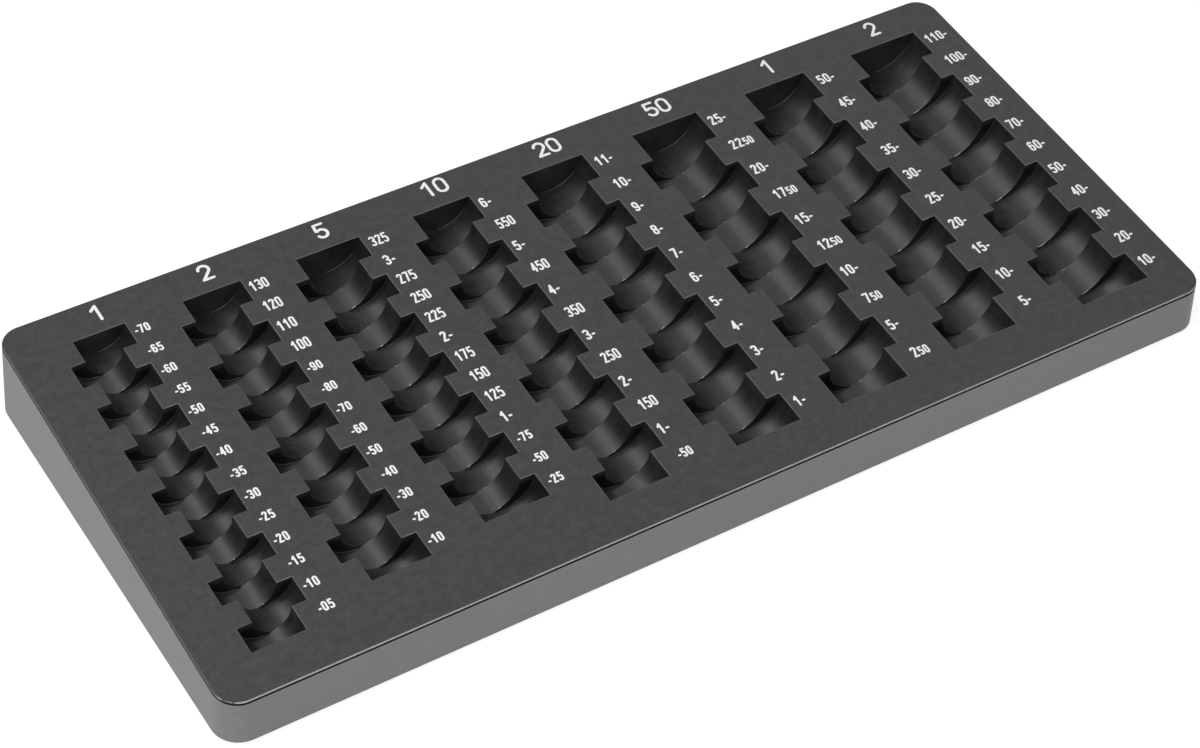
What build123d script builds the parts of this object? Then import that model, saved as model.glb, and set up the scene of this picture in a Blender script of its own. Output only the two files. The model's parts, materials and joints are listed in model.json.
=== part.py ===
from build123d import *
import math
import os

# Coin counting tray: a low wedge, higher at the back, whose deck carries eight columns of
# half-round pockets. Each pocket holds five coins on edge, and every second pocket is shifted
# sideways, so that a full pocket can be told from its neighbours and read off at a glance.
# Millimetres. X runs along the long side, Y to the high back edge, Z up, feet on Z = 0.

# ---- driving dimensions: the wedge -------------------------------------------------------
tray_length = 350.0          # along X, at the foot of the skirt
tray_depth = 157.0           # along Y, at the foot of the skirt
skirt_foot = 1.0             # height of the skirt's lower edge above the table
front_height = 16.3          # from the skirt's lower edge to the deck plane at the front
deck_slope = 4.05            # degrees, falling to the front
wall_draft = 3.6             # degrees, the walls lean inwards as they rise
corner_radius = 8.9          # upright corners, at the foot of the skirt
wall = 2.8                   # thickness of the skirt
ledge_wall = 1.9             # thickness of the skirt below the ledge that stops the base plate

# ---- driving dimensions: the deck panel --------------------------------------------------
deck_thickness = 2.2
rim_thickness = 1.2          # height of the rim that shows above the shadow line
rim_bevel = 0.7              # bevelled upper edge of the rim
seam_depth = 0.6             # how far the shadow line cuts in under the rim
seam_level = 1.65            # the skirt's top stands this far below the deck plane
seat_gap = 0.15              # play between the deck and the skirt that it sinks into

# ---- driving dimensions: coins and columns -----------------------------------------------
# name, coin diameter, coin thickness, number of pockets, slack along one pocket
columns = (
    ("cent_1", 16.25, 1.67, 14, 0.75),
    ("cent_2", 18.75, 1.67, 13, 0.95),
    ("cent_5", 21.25, 1.67, 13, 0.70),
    ("cent_10", 19.75, 1.93, 12, 1.00),
    ("cent_20", 22.25, 2.14, 11, 0.90),
    ("cent_50", 24.25, 2.38, 10, 0.95),
    ("euro_1", 23.25, 2.33, 10, 1.00),
    ("euro_2", 25.75, 2.20, 11, 0.80),
)
coins_per_pocket = 5
coin_play = 0.75             # pocket width over the coin's diameter
pocket_shift = 4.85          # sideways step between one pocket and the next
column_gap = 14.5            # deck left between two columns, where the counts are printed
first_column_x = -158.5      # left edge of the leftmost column
rear_margin = 13.1           # from the deck's rear edge to the first pocket, along the slope
channel_wall = 1.3
tab_length = 5.0             # fixing tab at each end of a channel
tab_width = 12.0
tab_thickness = 1.5
stake_width = 5.0            # flat stake under the deck, melted over the tab to hold it
stake_thickness = 1.6
stake_play = 0.2
stake_length = 2.4
mouth_margin = 0.55          # the bars that cut the mouths run this far past both faces

# ---- driving dimensions: base plate, its catches and the feet ----------------------------
base_thickness = 1.8
base_recess = 0.4            # the plate lies this far above the skirt's lower edge
base_play = 0.25
catch_width = 10.0           # upright catches that click into the skirt
catch_thickness = 1.3
catch_height = 6.5           # above the plate
catch_gap = 0.6              # between a catch and the skirt, at its foot
nose_reach = 0.9             # how far the catch's nose stands out
nose_height = 2.2
nose_flat = 0.75             # upright tip of the nose; above it the nose slopes back
nose_play = 0.2
long_side_catches = (-110.0, 0.0, 110.0)     # places along X, front and back
foot_size = 12.0             # square rubber pads with cut corners
foot_corner = 2.5
foot_bevel = 0.4
foot_inset_x = 22.0          # foot centres, from the tray's ends and from its long sides
foot_inset_y = 18.0
rib_thickness = 1.2          # stiffening ribs under the deck, between the columns
rib_depth = 4.0
rib_length = 96.0

# ---- worked-out sizes --------------------------------------------------------------------
spare_height = 6.0           # the uncut wedge stands this far above the rear of the deck
slope = math.radians(deck_slope)
half_depth = tray_depth / 2
deck_front = (0, -half_depth, skirt_foot + front_height)
deck = Plane(origin=deck_front, x_dir=(1, 0, 0), z_dir=(0, -math.sin(slope), math.cos(slope)))
rear_rise = front_height + tray_depth * math.tan(slope)
wall_lean = math.tan(math.radians(wall_draft))
rear_lean = rear_rise * wall_lean
first_pocket_y = (tray_depth - rear_lean) / math.cos(slope) - rear_margin
base_bottom = skirt_foot + base_recess
base_top = base_bottom + base_thickness
catch_inset = wall + catch_gap + wall_lean * (base_top + catch_height - skirt_foot)
envelope_height = rear_rise + spare_height
reach = 2 * tray_length      # larger than the tray, for trimming blocks
overlap = deck_thickness / 2     # how deep ribs and stakes are sunk into the deck to join it


def column_layout():
    """Name, left edge, pocket width, pocket length and pocket count of every column."""
    layout = []
    left = first_column_x
    for name, diameter, thickness, count, slack in columns:
        width = diameter + coin_play
        length = coins_per_pocket * thickness + slack
        layout.append((name, left, width, length, count))
        left += width + pocket_shift + column_gap
    return layout


def foot_outline(inset):
    """The outline of the skirt's foot, drawn in by inset all round."""
    length = tray_length - 2 * inset
    depth = tray_depth - 2 * inset
    return RectangleRounded(length, depth, corner_radius - inset)


def envelope(inset):
    """The drafted wedge before its top is cut, drawn in by inset all round."""
    outline = foot_outline(inset)
    return Pos(0, 0, skirt_foot) * extrude(outline, amount=envelope_height, taper=wall_draft)


def deck_layer(inset, top, bottom):
    """The envelope between two levels measured down from the deck plane."""
    height = bottom - top
    block = Pos(0, tray_depth / 2, -(top + bottom) / 2) * Box(reach, reach, height)
    return envelope(inset) & (deck.location * block)


def pocket_ends(left, width, length, count):
    """The front end plane of every pocket of one column, centred on the deck plane."""
    ends = []
    for index in range(count):
        shift = pocket_shift if index % 2 == 0 else 0.0
        front = first_pocket_y - (index + 1) * length
        middle = left + shift + width / 2
        ends.append(Plane(origin=(middle, front, 0), x_dir=(1, 0, 0), z_dir=(0, 1, 0)))
    return ends


def pockets(left, width, length, count):
    """Round bars, in deck coordinates, that cut the alternating pockets of one column."""
    radius = width / 2
    return [extrude(end * Circle(radius), amount=length) for end in pocket_ends(left, width, length, count)]


def strip_middles():
    """Middles, along X, of the strips of deck between neighbouring columns."""
    ends = [left + width + pocket_shift for _, left, width, _, _ in column_layout()]
    return [end + column_gap / 2 for end in ends[:-1]]


def tab_centres(left, width, length, count):
    """Middles of a column's two fixing tabs, in deck coordinates."""
    middle = left + (width + pocket_shift) / 2
    beyond = channel_wall + tab_length / 2
    front = first_pocket_y - count * length
    return ((middle, first_pocket_y + beyond), (middle, front - beyond))


def trough_outline(outer):
    """The outside of a trough below the deck: flats laid round both pocket positions."""
    flat = math.tan(math.radians(22.5)) * outer    # half a side of the octagon round a pocket
    side = outer + pocket_shift / 2
    low = flat + pocket_shift / 2
    right = [(side, deck_thickness), (side, flat), (low, outer)]
    left = [(-x, depth) for x, depth in reversed(right)]
    return Polygon(*right, *left, align=None)


def make_channel(left, width, length, count):
    """One moulded trough under the deck, with its pockets, end walls and fixing tabs."""
    radius = width / 2
    outer = radius + channel_wall
    front = first_pocket_y - count * length - channel_wall
    run = count * length + 2 * channel_wall
    middle = left + radius + pocket_shift / 2
    profile = Plane(origin=(middle, front, 0), x_dir=(1, 0, 0), z_dir=(0, 1, 0))
    trough = extrude(profile * trough_outline(outer), amount=run)
    for x, y in tab_centres(left, width, length, count):
        tab = Box(tab_width, tab_length + 2 * channel_wall, tab_thickness)
        trough += Pos(x, y, -deck_thickness - tab_thickness / 2) * tab
    trough -= pockets(left, width, length, count)
    for x, y in tab_centres(left, width, length, count):
        slot = Box(stake_width + stake_play, stake_thickness + stake_play, 2 * tab_thickness)
        trough -= Pos(x, y, -deck_thickness - tab_thickness / 2) * slot
    return deck.location * trough


def mouths(left, width, length, count):
    """Bars that cut the mouths of one column through the deck, in deck coordinates."""
    radius = width / 2
    under = math.sqrt(radius**2 - deck_thickness**2)
    lean = (radius - under) / deck_thickness
    high = radius + mouth_margin * lean
    low = under - mouth_margin * lean
    depth = deck_thickness + mouth_margin
    top = [(-high, -mouth_margin), (high, -mouth_margin)]
    section = Polygon(*top, (low, depth), (-low, depth), align=None)
    return [extrude(end * section, amount=length) for end in pocket_ends(left, width, length, count)]


def under_deck(x, y, across, along, depth):
    """A bar that hangs from the underside of the deck, sunk into it a little to join it."""
    bar = Box(across, along, depth + overlap)
    middle = deck_thickness - overlap + (depth + overlap) / 2
    return deck.location * (Pos(x, y, -middle) * bar)


def make_deck_panel():
    """The printed deck: rim, seat, pocket mouths, ribs and the stakes for the channels."""
    rim = deck_layer(0, 0, rim_thickness)
    top_face = rim.faces().sort_by(Axis(deck.origin, deck.z_dir))[-1]
    panel = chamfer(top_face.edges(), rim_bevel)
    panel += deck_layer(seam_depth, rim_thickness, seam_level)
    panel += deck_layer(wall + seat_gap, seam_level, deck_thickness)
    for _, left, width, length, count in column_layout():
        for x, y in tab_centres(left, width, length, count):
            panel += under_deck(x, y, stake_width, stake_thickness, stake_length)
        panel -= [deck.location * bar for bar in mouths(left, width, length, count)]
    for x in strip_middles():
        panel += under_deck(x, tray_depth / 2, rib_thickness, rib_length, rib_depth)
    return panel


def make_housing():
    """The skirt: a drafted ring with a ledge for the base plate and grooves for its catches."""
    ring = deck_layer(0, seam_level, reach) - envelope(wall)
    recess = base_top - skirt_foot
    ring -= envelope(ledge_wall) & (Pos(0, 0, skirt_foot + recess / 2) * Box(reach, reach, recess))
    for catch in catch_places():
        ring -= catch * make_nose(nose_play)
    return ring


def foot_positions():
    """Centres of the four feet in plan, with their names."""
    x = tray_length / 2 - foot_inset_x
    y = half_depth - foot_inset_y
    return (("front_left", -x, -y), ("front_right", x, -y), ("rear_left", -x, y), ("rear_right", x, y))


def catch_places():
    """Locations of the base plate's catches, each with its own +Y pointing at the skirt."""
    reach_y = half_depth - catch_inset
    reach_x = tray_length / 2 - catch_inset
    places = [Pos(x, reach_y, base_top) for x in long_side_catches]
    places += [Pos(x, -reach_y, base_top) * Rot(0, 0, 180) for x in long_side_catches]
    places += [Pos(reach_x, 0, base_top) * Rot(0, 0, -90), Pos(-reach_x, 0, base_top) * Rot(0, 0, 90)]
    return places


def make_nose(play):
    """The wedge at the top of a catch, or, with some play, the groove that it clicks into."""
    low = catch_height - nose_height - play
    high = catch_height + play
    reach_out = catch_gap + nose_reach + play
    side = Plane(origin=(-catch_width / 2 - play, 0, 0), x_dir=(0, 1, 0), z_dir=(1, 0, 0))
    tip = low + nose_flat
    wedge = Polygon((0, low), (reach_out, low), (reach_out, tip), (0, high), align=None)
    return extrude(side * wedge, amount=catch_width + 2 * play)


def make_base_plate():
    """The flat plate that closes the underside, with the catches that hold it in the skirt."""
    plate = Pos(0, 0, base_bottom) * extrude(foot_outline(ledge_wall + base_play), amount=base_thickness)
    root = base_thickness / 2                  # each catch is rooted halfway down the plate
    stem = Box(catch_width, catch_thickness, catch_height + root)
    for place in catch_places():
        plate += place * (Pos(0, -catch_thickness / 2, (catch_height - root) / 2) * stem)
        plate += place * make_nose(0)
    return plate


def make_foot(x, y):
    """A rubber foot, stuck to the base plate and standing on the table."""
    outline = chamfer(Rectangle(foot_size, foot_size).vertices(), foot_corner)
    foot = Pos(x, y, 0) * extrude(outline, amount=base_bottom)
    return chamfer(foot.edges().group_by(Axis.Z)[0], foot_bevel)


def write(name, shape):
    """Save one piece as its own STEP file."""
    export_step(shape, f"parts/{name}.step")
    print(name, "solids", len(shape.solids()), "volume", round(shape.volume, 1))


os.makedirs("parts", exist_ok=True)
write("deck_panel", make_deck_panel())
for name, left, width, length, count in column_layout():
    write("channel_" + name, make_channel(left, width, length, count))
write("housing", make_housing())
write("base_plate", make_base_plate())
for name, x, y in foot_positions():
    write("foot_" + name, make_foot(x, y))
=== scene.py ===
"""A manual coin counting tray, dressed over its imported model.

The tray is a low wedge. Its deck carries eight columns of half-round pockets, each column a
moulded trough under the deck, with the coin counts printed beside the pockets. A piece is
modelled on the bench, in millimetres, and brought to metres in the row frame when it is done.

Two sets of axes are used on the bench:
  row axes   X along the long side, Y to the high back edge, Z up, feet on Z = 0
  deck axes  x along the long side, y down into the deck, z up the slope from the front edge
"""

import json
import logging
import math
from dataclasses import dataclass, field
from enum import Enum
from typing import Callable, ClassVar, Iterable, Sequence

import bmesh
import bpy
from mathutils import Matrix, Vector

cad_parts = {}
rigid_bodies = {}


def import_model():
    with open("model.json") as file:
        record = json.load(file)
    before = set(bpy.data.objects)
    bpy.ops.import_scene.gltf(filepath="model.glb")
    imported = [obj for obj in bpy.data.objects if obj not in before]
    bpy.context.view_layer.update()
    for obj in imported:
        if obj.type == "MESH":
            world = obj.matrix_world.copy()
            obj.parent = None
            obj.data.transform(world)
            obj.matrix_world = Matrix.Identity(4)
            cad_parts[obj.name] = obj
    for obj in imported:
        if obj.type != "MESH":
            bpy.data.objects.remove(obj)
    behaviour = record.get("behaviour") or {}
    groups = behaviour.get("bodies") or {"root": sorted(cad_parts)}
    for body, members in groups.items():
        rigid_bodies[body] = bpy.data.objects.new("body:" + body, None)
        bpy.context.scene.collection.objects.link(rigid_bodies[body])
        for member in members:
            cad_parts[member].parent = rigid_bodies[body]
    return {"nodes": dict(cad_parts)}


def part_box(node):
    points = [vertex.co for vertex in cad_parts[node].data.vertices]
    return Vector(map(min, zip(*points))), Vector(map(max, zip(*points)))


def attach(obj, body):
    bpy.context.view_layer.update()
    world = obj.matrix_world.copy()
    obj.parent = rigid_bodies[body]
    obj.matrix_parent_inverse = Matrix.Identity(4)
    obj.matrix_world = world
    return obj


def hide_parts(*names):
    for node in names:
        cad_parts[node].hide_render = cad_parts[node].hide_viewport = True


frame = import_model()

Piece = bpy.types.Object
Material = bpy.types.Material
Tree = bpy.types.NodeTree
Socket = bpy.types.NodeSocket
Edge = bmesh.types.BMEdge
Face = bmesh.types.BMFace | bpy.types.MeshPolygon
Inputs = dict[str | int, object]
Triple = tuple[float, float, float]
Pair = tuple[float, float]

BODY = "root"
METRES = 0.001               # bench millimetres to the row frame's metres
HAIR = 0.01                  # millimetres within which two levels are one
NEAR = 0.1                   # millimetres within which an edge follows an outline
FLAT = 0.9                   # share of its normal from which a face lies across an axis
SQUARE = 50.0                # turn in degrees from which an edge is a square one
SMOOTH = 35.0                # turn in degrees up to which two faces are shaded as one
log = logging.getLogger("tray")


# ---------------------------------------------------------------- bench tools


class Cut(Enum):
    """What a boolean does with its tool."""

    AWAY = "DIFFERENCE"
    JOIN = "UNION"


class Part(Enum):
    """What is selected in an open mesh, with its name in bmesh."""

    VERT = "verts"
    EDGE = "edges"
    FACE = "faces"


def take(*pieces: Piece) -> None:
    """Selects these pieces only, and makes the first of them the active one.

    Args:
        pieces: the pieces to work on; with none, nothing stays selected.
    """
    for thing in bpy.context.view_layer.objects:
        thing.select_set(thing in pieces)
    if pieces:
        bpy.context.view_layer.objects.active = pieces[0]


def fresh(name: str) -> Piece:
    """Names the active piece and its mesh.

    Args:
        name: the name of both.

    Returns:
        The active piece.
    """
    piece = bpy.context.active_object
    piece.name = piece.data.name = name
    return piece


def select_mesh(part: Part, whole: bool) -> None:
    """Selects all or nothing of the open mesh, by the given kind of part."""
    bpy.ops.mesh.select_mode(type=part.name)
    bpy.ops.mesh.select_all(action="SELECT" if whole else "DESELECT")


def open_mesh(piece: Piece, part: Part) -> None:
    """Opens a piece in edit mode with nothing selected.

    Args:
        piece: the piece to edit.
        part: what is going to be selected.
    """
    take(piece)
    bpy.ops.object.mode_set(mode="EDIT")
    select_mesh(part, False)


def close_mesh() -> None:
    """Leaves edit mode."""
    bpy.ops.object.mode_set(mode="OBJECT")


def pick(piece: Piece, part: Part, wanted: Callable[..., bool]) -> None:
    """Selects the parts of the open mesh that pass a test.

    Args:
        piece: the piece in edit mode.
        part: the kind of part.
        wanted: the test for one of them.
    """
    mesh = bmesh.from_edit_mesh(piece.data)
    for each in [each for each in getattr(mesh, part.value) if wanted(each)]:
        each.select_set(True)
    mesh.select_flush_mode()
    bmesh.update_edit_mesh(piece.data)


def face_outwards() -> None:
    """Turns all faces of the open mesh outwards."""
    select_mesh(Part.FACE, True)
    bpy.ops.mesh.normals_make_consistent(inside=False)


def middle_of(edge: Edge) -> Vector:
    """The middle of an edge."""
    return (edge.verts[0].co + edge.verts[1].co) / 2


def turn_at(edge: Edge) -> float:
    """The turn between an edge's two faces in degrees, above 0 where it stands out."""
    return math.degrees(edge.calc_face_angle_signed(0.0)) if len(edge.link_faces) == 2 else 0.0


def round_off(piece: Piece, wanted: Callable[[Edge], bool], width: float, steps: int, finish: int) -> None:
    """Rounds some edges of a piece.

    Args:
        piece: the piece.
        wanted: the test for one edge.
        width: the width of the rounding.
        steps: its segments.
        finish: the number of the material on the rounding, -1 for its neighbours'.
    """
    open_mesh(piece, Part.EDGE)
    pick(piece, Part.EDGE, wanted)
    bpy.ops.mesh.bevel(offset=width, segments=steps, profile=0.5, clamp_overlap=False, material=finish)
    close_mesh()


def new_block(name: str, middle: Sequence[float], size: Sequence[float]) -> Piece:
    """Adds a block.

    Args:
        name: its name.
        middle: its middle.
        size: its three lengths.

    Returns:
        The block, with its place in its mesh.
    """
    take()
    bpy.ops.mesh.primitive_cube_add(size=1, location=middle)
    block = fresh(name)
    block.scale = size
    bpy.ops.object.transform_apply(location=True, rotation=False, scale=True)
    return block


def copied(pattern: Piece, place: Matrix) -> Piece:
    """Copies a piece with a mesh of its own.

    Args:
        pattern: the piece to copy.
        place: where the copy goes, applied to its mesh.

    Returns:
        The copy.
    """
    copy = pattern.copy()
    copy.data = pattern.data.copy()
    copy.data.transform(place)
    bpy.context.scene.collection.objects.link(copy)
    return copy


def throw_away(piece: Piece) -> None:
    """Removes a piece that is no longer needed.

    Args:
        piece: a tool or a pattern.
    """
    mesh = piece.data
    bpy.data.objects.remove(piece)
    bpy.data.meshes.remove(mesh)


def cut(piece: Piece, tool: Piece, how: Cut) -> None:
    """Cuts a piece with a tool, or joins the tool to it, and throws the tool away.

    Args:
        piece: the piece that is changed.
        tool: the solid that cuts it or is added to it.
        how: whether the tool is taken away or joined on.
    """
    take(piece)
    step = piece.modifiers.new("cut", "BOOLEAN")
    step.operation = how.value
    step.solver = "EXACT"
    step.object = tool
    bpy.ops.object.modifier_apply(modifier=step.name)
    throw_away(tool)


def joined(pieces: Sequence[Piece], name: str) -> Piece:
    """Joins several pieces into one mesh.

    Args:
        pieces: the pieces, which the first one takes in.
        name: the name of the result.

    Returns:
        The joined piece.
    """
    take(*pieces)
    if len(pieces) > 1:
        bpy.ops.object.join()
    return fresh(name)


def paint(piece: Piece, materials: Sequence[Material]) -> None:
    """Gives a piece its materials, the first of them on all its faces.

    Args:
        piece: the piece.
        materials: its materials, in the order of their numbers.
    """
    piece.data.materials.clear()
    for material in materials:
        piece.data.materials.append(material)


def sort_faces(piece: Piece, choose: Callable[[Face], int]) -> None:
    """Gives each face of a piece the material that a rule chooses."""
    for face in piece.data.polygons:
        face.material_index = choose(face)


def deliver(piece: Piece, place: Matrix, slot: str, *nodes: str) -> None:
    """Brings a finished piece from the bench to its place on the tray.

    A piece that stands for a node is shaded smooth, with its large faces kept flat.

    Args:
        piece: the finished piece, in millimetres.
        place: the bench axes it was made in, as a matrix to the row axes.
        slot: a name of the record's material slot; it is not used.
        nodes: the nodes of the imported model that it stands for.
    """
    if nodes:
        take(piece)
        bpy.ops.object.shade_smooth_by_angle(angle=math.radians(SMOOTH), keep_sharp_edges=False)
        step = piece.modifiers.new("even", "WEIGHTED_NORMAL")
        step.keep_sharp = True
        step.weight = 100
        bpy.ops.object.modifier_apply(modifier=step.name)
    piece.data.transform(Matrix.Scale(METRES, 4) @ place @ piece.matrix_world)
    piece.matrix_world = Matrix.Identity(4)
    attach(piece, BODY)
    if nodes:
        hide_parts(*nodes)
    log.info("%s: %d faces, stands for %s", piece.name, len(piece.data.polygons), nodes or "no node")


# ---------------------------------------------------------------- the tray's layout


class CountStyle(Enum):
    """How a column prints what its coins add up to."""

    CENTS = "all in cents, with a dash before two digits"
    EUROS = "whole amounts with a dash behind them, parts as plain digits"
    SMALL_CENTS = "as EUROS, with the two digits of the cents smaller"


@dataclass(frozen=True)
class Column:
    """One column of pockets, in millimetres on the deck.

    The pockets are counted from the rear, and every second one stands to the right.
    """

    node: str
    left: float
    heading: str
    width: float
    length: float
    count: int
    coin_cents: int
    style: CountStyle
    heading_place: Pair      # its middle, right of the left edge and above the first pocket
    count_start: float       # where the counts begin, right of the column's right edge

    @property
    def radius(self) -> float:
        """Radius of the half-round pockets."""
        return self.width / 2

    @property
    def right(self) -> float:
        """Right edge of the pockets that stand to the left."""
        return self.left + self.width


@dataclass(frozen=True)
class TrayLayout:
    """The sizes that the sub-assemblies share, in millimetres and degrees."""

    slope: float = 4.05
    draft: float = 3.6
    corner: float = 8.9
    corner_steps: int = 14
    skirt_foot: float = 1.0
    front_height: float = 16.3
    spare_height: float = 36.0
    shift: float = 4.85
    gap: float = 14.5
    first_x: float = -158.5
    first_z: float = 142.56
    coins_per_pocket: int = 5
    bar_sides: int = 72
    bench_step: float = 1 / 128      # pocket ends lie on this grid, so that neighbours meet exactly

    @property
    def plan(self) -> Pair:
        """Length and depth of the tray, from its packed skirt."""
        low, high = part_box("housing")
        return (high.x - low.x) / METRES, (high.y - low.y) / METRES

    @property
    def deck_to_row(self) -> Matrix:
        """The deck axes as a matrix to the row axes."""
        origin = Vector((0, -self.plan[1] / 2, self.skirt_foot + self.front_height))
        return Matrix.Translation(origin) @ Matrix.Rotation(math.radians(self.slope - 90), 4, "X")

    def columns(self) -> list[Column]:
        """The eight columns, each with the sizes that its coins ask for.

        Returns:
            The columns from left to right.
        """
        cents, euros, small = CountStyle.CENTS, CountStyle.EUROS, CountStyle.SMALL_CENTS
        rows = (
            ("cent_1", "1", 17.0, 9.10, 14, 1, cents, (16.03, 7.41), 6.05),
            ("cent_2", "2", 19.5, 9.30, 13, 2, cents, (16.23, 7.75), 6.15),
            ("cent_5", "5", 22.0, 9.05, 13, 5, euros, (17.40, 7.45), 6.85),
            ("cent_10", "10", 20.5, 10.65, 12, 10, euros, (17.24, 8.35), 6.35),
            ("cent_20", "20", 23.0, 11.60, 11, 20, euros, (19.21, 7.85), 6.85),
            ("cent_50", "50", 25.0, 12.85, 10, 50, small, (19.30, 7.75), 6.35),
            ("euro_1", "1", 24.0, 12.65, 10, 100, euros, (19.09, 7.77), 6.95),
            ("euro_2", "2", 26.5, 11.80, 11, 200, euros, (18.92, 7.58), 6.35),
        )
        found = []
        left = self.first_x
        for name, *sizes in rows:
            found.append(Column("channel_" + name, left, *sizes))
            left = found[-1].right + self.shift + self.gap
        return found

    def middle_x(self, column: Column) -> float:
        """The middle of a column, where the floors of neighbouring pockets cross."""
        return column.left + (column.width + self.shift) / 2

    def pocket_end(self, column: Column, index: int) -> float:
        """Where pocket number index begins, at its rear end, on the bench grid."""
        return round((self.first_z - index * column.length) / self.bench_step) * self.bench_step

    def pocket_middle_x(self, column: Column, index: int) -> float:
        """The middle of a pocket across the column."""
        return column.left + column.radius + (self.shift if index % 2 == 0 else 0.0)

    def wedge(self, name: str) -> Piece:
        """The drafted block that the skirt and the deck are cut from.

        Args:
            name: its name.

        Returns:
            A closed block on the skirt's foot in row axes, with rounded upright corners.
        """
        take()
        bpy.ops.mesh.primitive_plane_add(size=1, location=(0, 0, self.skirt_foot))
        block = fresh(name)
        block.scale = (*self.plan, 1)
        bpy.ops.object.transform_apply(location=True, rotation=False, scale=True)
        open_mesh(block, Part.VERT)
        select_mesh(Part.VERT, True)
        bpy.ops.mesh.bevel(affect="VERTICES", offset=self.corner, segments=self.corner_steps, profile=0.5)
        select_mesh(Part.FACE, True)
        lean = math.tan(math.radians(self.draft))
        bpy.ops.mesh.inset(thickness=lean * self.spare_height, depth=self.spare_height)
        select_mesh(Part.EDGE, False)
        pick(block, Part.EDGE, lambda edge: edge.is_boundary)
        bpy.ops.mesh.edge_face_add()
        face_outwards()
        close_mesh()
        return block

    def trim(self, block: Piece, level: float, keep_below: bool) -> None:
        """Cuts a block in row axes along a level of the deck and closes it again.

        Args:
            block: the block to cut.
            level: the distance of the cut under the deck's surface.
            keep_below: True keeps what lies under the cut.
        """
        turn = self.deck_to_row
        up = (turn.to_3x3() @ Vector((0, -1, 0))).normalized()
        open_mesh(block, Part.FACE)
        select_mesh(Part.FACE, True)
        bpy.ops.mesh.bisect(
            plane_co=turn @ Vector((0, level, 0)), plane_no=up,
            use_fill=True, clear_outer=keep_below, clear_inner=not keep_below,
        )
        close_mesh()

    def bars(self, column: Column, first: int) -> list[Piece]:
        """Round bars that cut every second pocket of a column, in deck axes.

        Args:
            column: the column to cut.
            first: 0 for the pockets that stand to the right, 1 for the others.

        Returns:
            One bar for each of those pockets.
        """
        take()
        bpy.ops.mesh.primitive_cylinder_add(
            vertices=self.bar_sides, radius=column.radius, depth=1, rotation=(0, 0, math.pi / self.bar_sides)
        )
        pattern = fresh("bar")
        bpy.ops.object.transform_apply(location=False, rotation=True, scale=False)
        found = []
        for index in range(first, column.count, 2):
            rear, front = self.pocket_end(column, index), self.pocket_end(column, index + 1)
            middle = (self.pocket_middle_x(column, index), 0, (rear + front) / 2)
            place = Matrix.Translation(middle) @ Matrix.Diagonal((1, 1, rear - front, 1))
            found.append(copied(pattern, place))
        throw_away(pattern)
        return found

    def cut_pockets(self, block: Piece, columns: Sequence[Column]) -> None:
        """Cuts the pockets of some columns, first the ones to the right and then the others.

        Args:
            block: the deck or a trough, in deck axes.
            columns: the columns to cut.
        """
        for first in (0, 1):
            bars = [bar for column in columns for bar in self.bars(column, first)]
            cut(block, joined(bars, "bars"), Cut.AWAY)


# ---------------------------------------------------------------- finishes


class Wiring:
    """A short way to place and join shader nodes in one node tree."""

    def __init__(self, tree: Tree) -> None:
        """Takes the tree that the nodes go into."""
        self.tree = tree

    def add(self, kind: str, inputs: Inputs | None = None, **settings: object) -> bpy.types.Node:
        """Adds a node.

        Args:
            kind: the node's type name.
            inputs: a standing value, or an output to link, for some of its inputs.
            settings: fields of the node.

        Returns:
            The new node.
        """
        node = self.tree.nodes.new(kind)
        node.location.x = 220 * len(self.tree.nodes)
        for name, value in settings.items():
            setattr(node, name, value)
        for name, value in (inputs or {}).items():
            if isinstance(value, Socket):
                self.tree.links.new(value, node.inputs[name])
            else:
                node.inputs[name].default_value = value
        return node

    def math(self, how: str, first: object, second: object) -> Socket:
        """The output of a Math node on two values or outputs."""
        return self.add("ShaderNodeMath", {0: first, 1: second}, operation=how).outputs[0]

    def share(self, first: Socket, part: float, second: Socket) -> Socket:
        """A part of the first output, and of the second one what is left to 1."""
        return self.math("ADD", self.math("MULTIPLY", first, part), self.math("MULTIPLY", second, 1 - part))

    def group(self, tree: Tree, **inputs: object) -> bpy.types.NodeOutputs:
        """The outputs of a node group that is given these inputs."""
        return self.add("ShaderNodeGroup", inputs, node_tree=tree).outputs

    def noise(self, position: Socket, scale: Socket, detail: float, roughness: float = 0.5) -> Socket:
        """The value of a noise texture."""
        inputs = {"Vector": position, "Scale": scale, "Detail": detail, "Roughness": roughness}
        return self.add("ShaderNodeTexNoise", inputs).outputs["Fac"]

    def cells(self, position: Socket, scale: Socket) -> bpy.types.NodeOutputs:
        """The outputs of a cell texture: each cell's colour and the distance to its middle."""
        return self.add("ShaderNodeTexVoronoi", {"Vector": position, "Scale": scale}, feature="F1").outputs

    def spread(self, noise: Socket, low: float = 0.0, high: float = 1.0) -> Socket:
        """Maps the middle part of a noise onto a range."""
        ends = {"Value": noise, "From Min": 0.3, "From Max": 0.7, "To Min": low, "To Max": high}
        return self.add("ShaderNodeMapRange", ends).outputs["Result"]

    def blend(self, mask: Socket, low: object, high: object) -> Socket:
        """A colour that goes from low to high with a mask."""
        return self.add("ShaderNodeMix", {0: mask, 6: low, 7: high}, data_type="RGBA").outputs[2]


def colour(red: float, green: float | None = None, blue: float | None = None) -> tuple[float, ...]:
    """A full colour, or a grey where only one number is given."""
    return (red, red if green is None else green, red if blue is None else blue, 1.0)


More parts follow.
